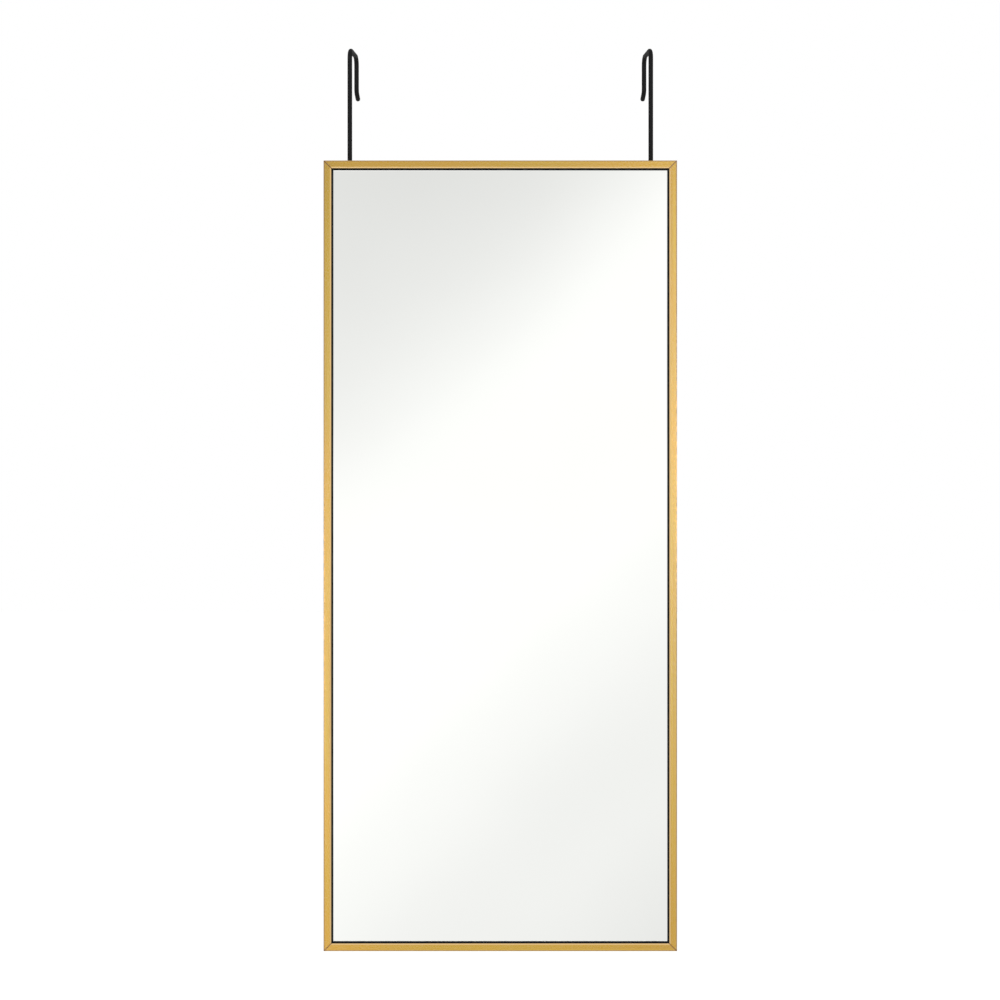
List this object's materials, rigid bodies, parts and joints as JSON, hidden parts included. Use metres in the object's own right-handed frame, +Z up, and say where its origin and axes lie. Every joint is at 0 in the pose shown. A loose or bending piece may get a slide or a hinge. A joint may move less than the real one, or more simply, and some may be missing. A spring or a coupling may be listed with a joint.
{
  "type": "over the door mirror",
  "caption": "Mirror in a slim metal frame, hung over the top of a door on rod hooks that slide, swivel and lock behind its top rail.",
  "frame": {"origin": "on the door's top edge, midway between the hooks, in the plane of the door face that the bumpers rest on", "axes": "+X along the door to the viewer's right, +Y through the door from the mirror side to the hooks' back legs, +Z up"},
  "size_m": [0.406, 0.0832, 1.0414],
  "materials": {
    "frame_gold": "brushed and gold anodised",
    "gasket": "matte",
    "mirror": "polished",
    "film": "satin",
    "foam": "matte",
    "board": "pressed fibreboard",
    "clip_steel": "spring tempered",
    "mill_aluminium": "mill",
    "screw_steel": "zinc plated",
    "thumb_steel": "nickel plated, knurled",
    "nylon": "matte",
    "rod_black": "satin powder coat",
    "bumper": "soft, satin"
  },
  "bodies": {
    "frame": {"top_rail": "frame_gold", "bottom_rail": "frame_gold", "left_stile": "frame_gold", "right_stile": "frame_gold", "gasket_top": "gasket", "gasket_bottom": "gasket", "gasket_left": "gasket", "gasket_right": "gasket", "mirror_glass": "mirror", "safety_film": "film", "foam_sheet": "foam", "backing_board": "board", "spring_clips": "clip_steel", "cleat_top_left": "mill_aluminium", "cleat_top_right": "mill_aluminium", "cleat_bottom_left": "mill_aluminium", "cleat_bottom_right": "mill_aluminium", "cleat_screws": "screw_steel", "left_hanger_block": "mill_aluminium", "right_hanger_block": "mill_aluminium", "hanger_screws": "screw_steel", "bumper_top_left": "bumper", "bumper_top_right": "bumper", "bumper_bottom_left": "bumper", "bumper_bottom_right": "bumper"},
    "left_swivel": {"left_sleeve": "nylon"},
    "right_swivel": {"right_sleeve": "nylon"},
    "left_hanger": {"left_hook": "rod_black", "left_stop_nut": "screw_steel"},
    "right_hanger": {"right_hook": "rod_black", "right_stop_nut": "screw_steel"},
    "left_lock": {"left_thumb_screw": "thumb_steel"},
    "right_lock": {"right_thumb_screw": "thumb_steel"}
  },
  "joints": [
    {"name": "left_hook_turn", "type": "hinge", "parent": "frame", "child": "left_swivel", "pos_m": [-0.1739, -0.00925, -0.128], "axis": [0, 0, 1], "continuous": true},
    {"name": "right_hook_turn", "type": "hinge", "parent": "frame", "child": "right_swivel", "pos_m": [0.1739, -0.00925, -0.128], "axis": [0, 0, -1], "continuous": true},
    {"name": "left_hook_slide", "type": "slide", "parent": "left_swivel", "child": "left_hanger", "axis": [0, 0, 1], "range_m": [-0.078, 0.04]},
    {"name": "right_hook_slide", "type": "slide", "parent": "right_swivel", "child": "right_hanger", "axis": [0, 0, 1], "range_m": [-0.078, 0.04]},
    {"name": "left_thumb_turn", "type": "hinge", "parent": "frame", "child": "left_lock", "pos_m": [-0.1739, -0.00925, -0.14355], "axis": [1, 0, 0], "continuous": true},
    {"name": "right_thumb_turn", "type": "hinge", "parent": "frame", "child": "right_lock", "pos_m": [0.1739, -0.00925, -0.14355], "axis": [-1, 0, 0], "continuous": true}
  ]
}
